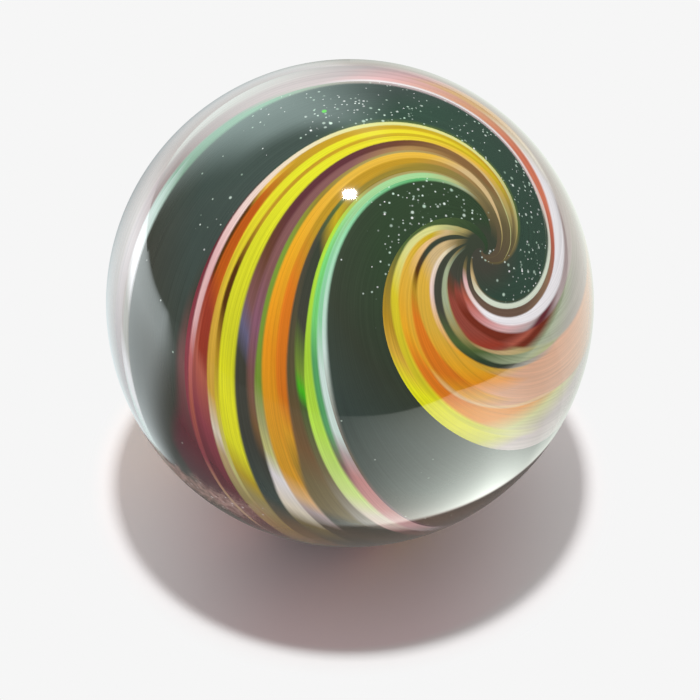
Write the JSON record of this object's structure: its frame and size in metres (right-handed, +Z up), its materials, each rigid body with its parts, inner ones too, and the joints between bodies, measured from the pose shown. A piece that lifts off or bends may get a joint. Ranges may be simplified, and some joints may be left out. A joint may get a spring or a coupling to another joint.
{
  "type": "glass marble",
  "caption": "Polished solid glass ball: dark green ground glass with ribbons of coloured glass that swirl round it from eye to eye.",
  "frame": {"origin": "centre of the ball", "axes": "+Z up as the ball lies; the swirl's own axis leans 46 degrees from +Z, towards 48 degrees clockwise from +X seen from above"},
  "size_m": [0.038, 0.038, 0.038],
  "materials": {
    "dark_green_glass": "polished",
    "yellow_glass": "polished",
    "orange_glass": "polished",
    "brick_glass": "polished",
    "brown_glass": "polished",
    "cream_glass": "polished",
    "plum_glass": "polished",
    "olive_glass": "polished",
    "lime_glass": "polished",
    "mint_glass": "polished",
    "rose_glass": "polished",
    "white_glass": "polished"
  },
  "bodies": {
    "root": {"dark_glass": "dark_green_glass", "yellow_ribbons": "yellow_glass", "orange_ribbons": "orange_glass", "brick_ribbons": "brick_glass", "brown_ribbons": "brown_glass", "cream_ribbons": "cream_glass", "plum_ribbon": "plum_glass", "olive_ribbon": "olive_glass", "lime_ribbon": "lime_glass", "mint_ribbon": "mint_glass", "rose_ribbon": "rose_glass", "white_ribbon": "white_glass"}
  },
  "joints": []
}
